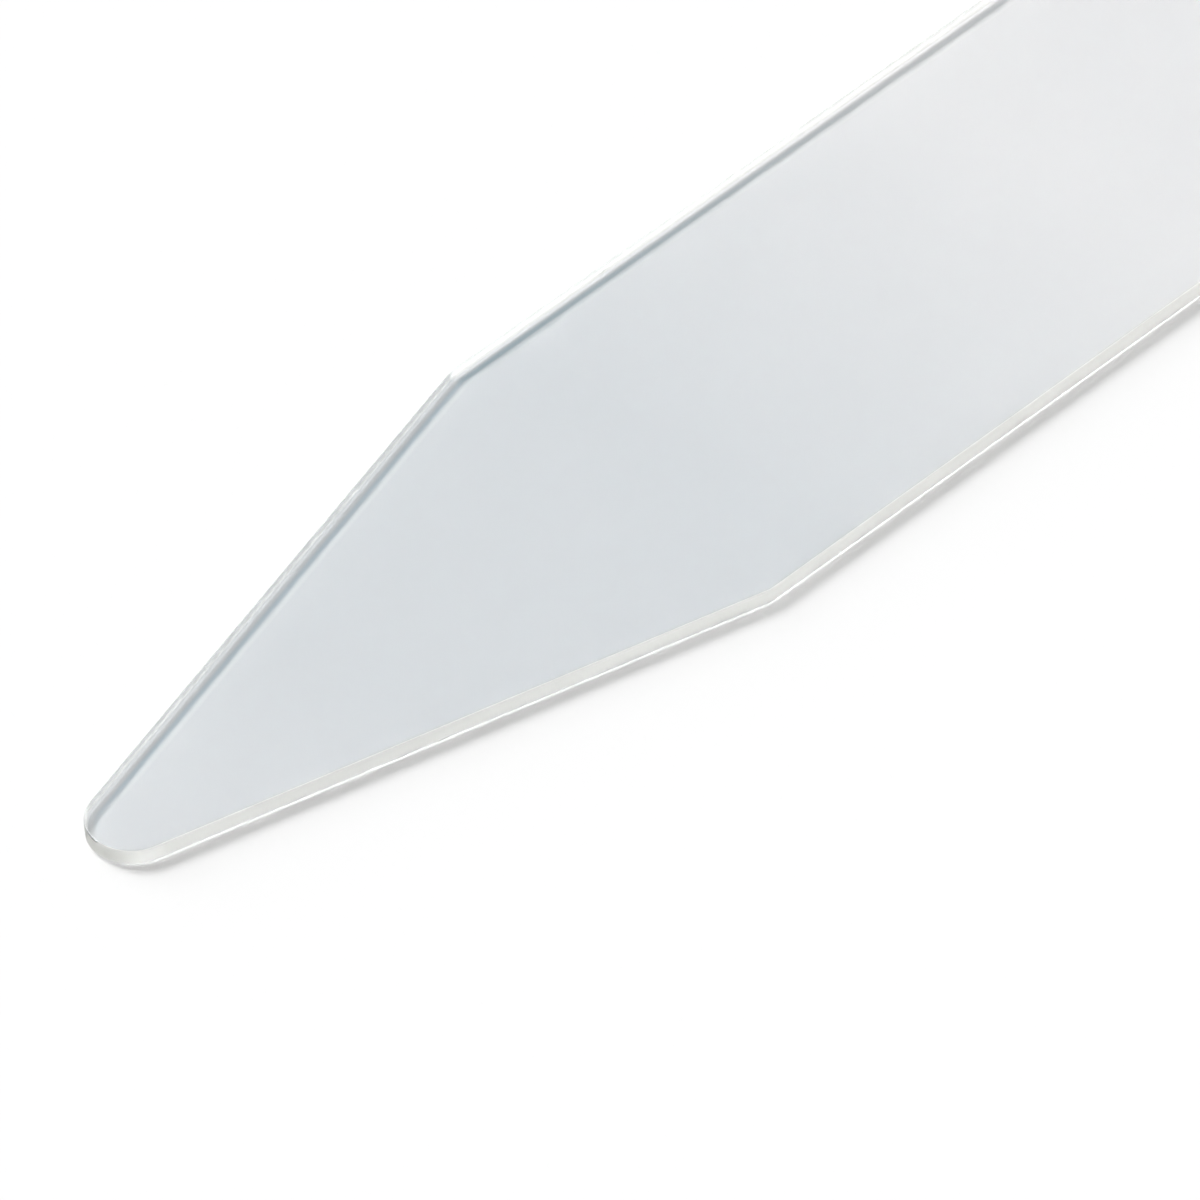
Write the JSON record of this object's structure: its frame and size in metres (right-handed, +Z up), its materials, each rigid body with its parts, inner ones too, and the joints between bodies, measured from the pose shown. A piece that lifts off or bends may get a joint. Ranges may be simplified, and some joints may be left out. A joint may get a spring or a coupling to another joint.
{
  "type": "collar stay",
  "caption": "Flat clear plastic collar stay with a tapered, rounded point, angular shoulders, straight sides and a round head.",
  "frame": {"origin": "middle of the stay's length and width, on its underside", "axes": "+X along the stay towards the round head, the point towards -X; +Z up through the sheet's thickness"},
  "size_m": [0.0635, 0.0094, 0.0004],
  "materials": {
    "clear_plastic": "clear, with a faint cool grey tint and glossy faces"
  },
  "bodies": {
    "root": {"stay": "clear_plastic"}
  },
  "joints": []
}
